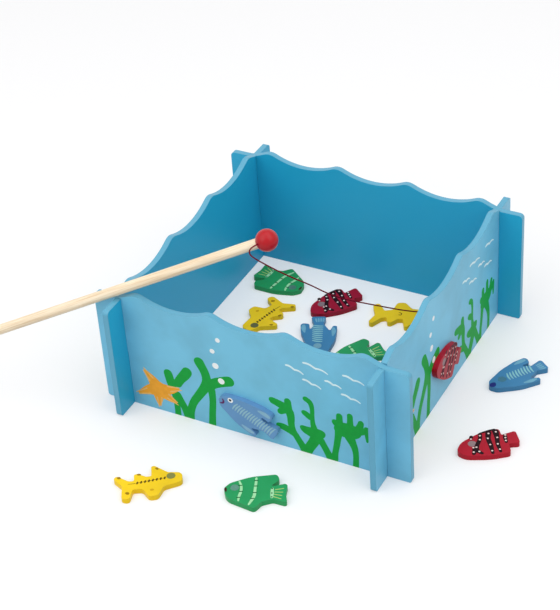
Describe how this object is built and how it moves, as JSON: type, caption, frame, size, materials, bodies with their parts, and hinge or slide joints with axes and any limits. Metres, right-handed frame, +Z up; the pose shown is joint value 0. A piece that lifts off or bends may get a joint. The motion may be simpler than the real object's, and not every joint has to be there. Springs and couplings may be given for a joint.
{
  "type": "magnetic fishing game",
  "caption": "Square pond of four slotted wavy panels, flat wooden fish with steel slugs, and a ball-tipped rod whose line carries a magnet.",
  "frame": {"origin": "lowest point under the middle of the set's box, on the surface that it stands on", "axes": "+X along the front panel from left to right, +Y from the front panel to the back panel, +Z up"},
  "size_m": [0.6078, 0.3972, 0.19],
  "materials": {
    "panel_wood": "satin paint with printed motifs",
    "green_wood": "satin paint",
    "red_wood": "satin paint",
    "blue_wood": "satin paint",
    "yellow_wood": "satin paint",
    "slug_steel": "satin",
    "rod_wood": "bare beech, sanded",
    "ball_wood": "gloss lacquer",
    "line_fibre": "twisted cord",
    "holder_plastic": "matte",
    "magnet_metal": "plated"
  },
  "bodies": {
    "root": {"front_panel": "panel_wood", "back_panel": "panel_wood", "left_panel": "panel_wood", "right_panel": "panel_wood", "green_fish_in_pond_left": "green_wood", "green_fish_in_pond_right": "green_wood", "green_fish_outside": "green_wood", "red_fish_in_pond": "red_wood", "red_fish_outside": "red_wood", "red_fish_on_right_panel": "red_wood", "blue_fish_in_pond": "blue_wood", "blue_fish_outside": "blue_wood", "blue_fish_on_front_panel": "blue_wood", "yellow_fish_in_pond_left": "yellow_wood", "yellow_fish_in_pond_right": "yellow_wood", "yellow_fish_outside": "yellow_wood", "green_fish_in_pond_left_slug": "slug_steel", "green_fish_in_pond_right_slug": "slug_steel", "green_fish_outside_slug": "slug_steel", "red_fish_in_pond_slug": "slug_steel", "red_fish_outside_slug": "slug_steel", "red_fish_on_right_panel_slug": "slug_steel", "blue_fish_in_pond_slug": "slug_steel", "blue_fish_outside_slug": "slug_steel", "yellow_fish_in_pond_left_slug": "slug_steel", "yellow_fish_in_pond_right_slug": "slug_steel", "yellow_fish_outside_slug": "slug_steel", "rod_dowel": "rod_wood", "rod_ball": "ball_wood", "fishing_line": "line_fibre", "magnet_holder": "holder_plastic", "magnet": "magnet_metal"}
  },
  "joints": []
}
